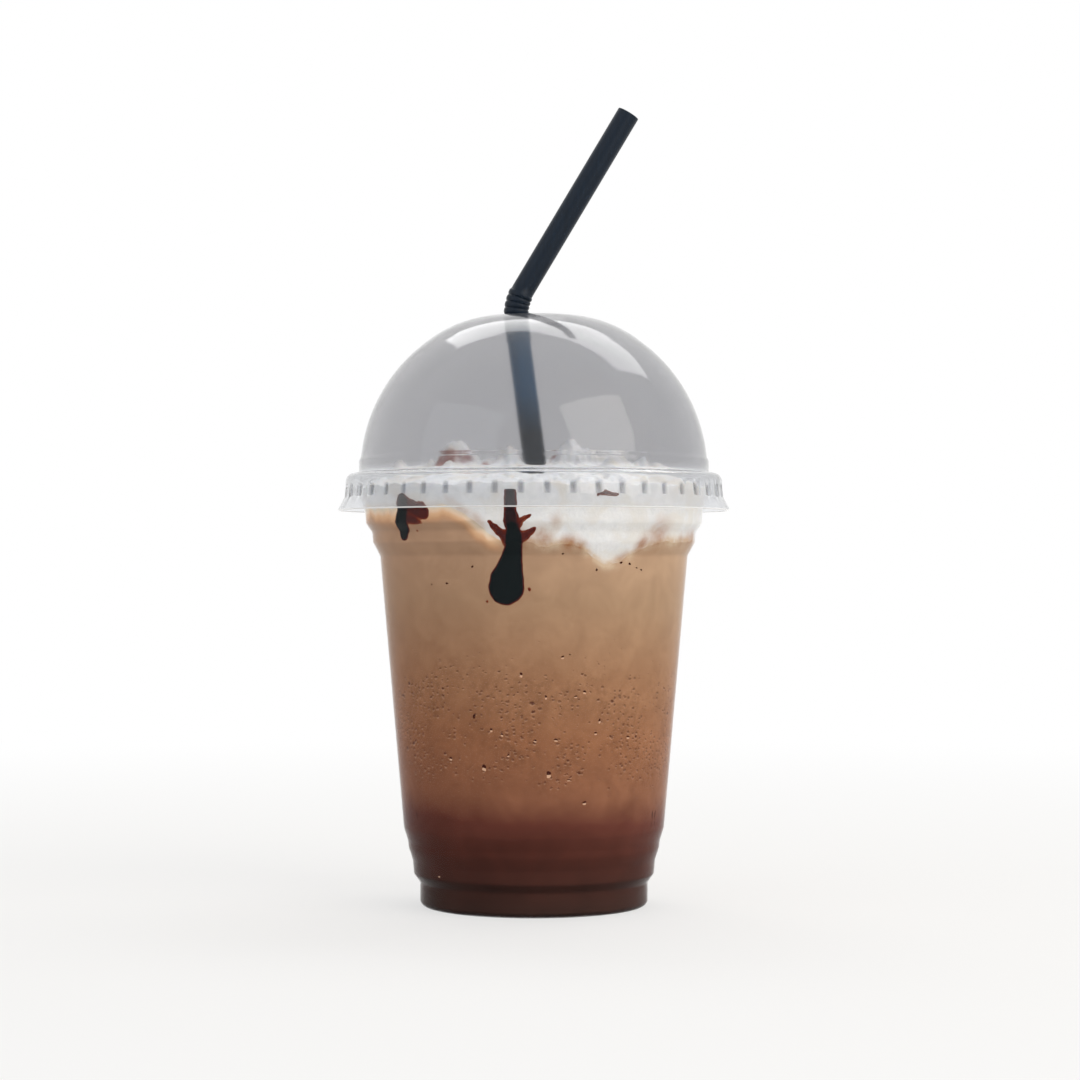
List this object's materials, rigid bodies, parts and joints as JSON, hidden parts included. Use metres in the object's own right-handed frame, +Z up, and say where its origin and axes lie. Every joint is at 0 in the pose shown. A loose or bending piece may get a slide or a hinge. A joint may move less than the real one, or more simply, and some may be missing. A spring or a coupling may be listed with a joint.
{
  "type": "iced coffee",
  "caption": "Blended iced coffee with whipped cream in a clear stepped takeaway cup with a domed lid and a bent flexible straw.",
  "frame": {"origin": "on the cup's axis, in the plane its foot stands on", "axes": "+Z up the cup's axis; +X to the side the straw's tip leans to; the side with the large sauce drip faces -Y"},
  "size_m": [0.1032, 0.1032, 0.2102],
  "materials": {
    "clear_cup": "clear thermoformed plastic, glossy",
    "clear_lid": "clear thermoformed plastic, glossy",
    "straw_plastic": "dark blue-black extruded plastic, satin",
    "chocolate_layer": "dark chocolate drink, wet",
    "blended_coffee": "milky blended coffee, pale brown, with small bubbles",
    "whipped_cream": "whipped cream, white, soft",
    "chocolate_sauce": "dark chocolate sauce, glossy"
  },
  "bodies": {
    "root": {"cup": "clear_cup", "dome_lid": "clear_lid", "straw": "straw_plastic", "chocolate_layer": "chocolate_layer", "blended_coffee": "blended_coffee", "whipped_cream": "whipped_cream"}
  },
  "joints": []
}
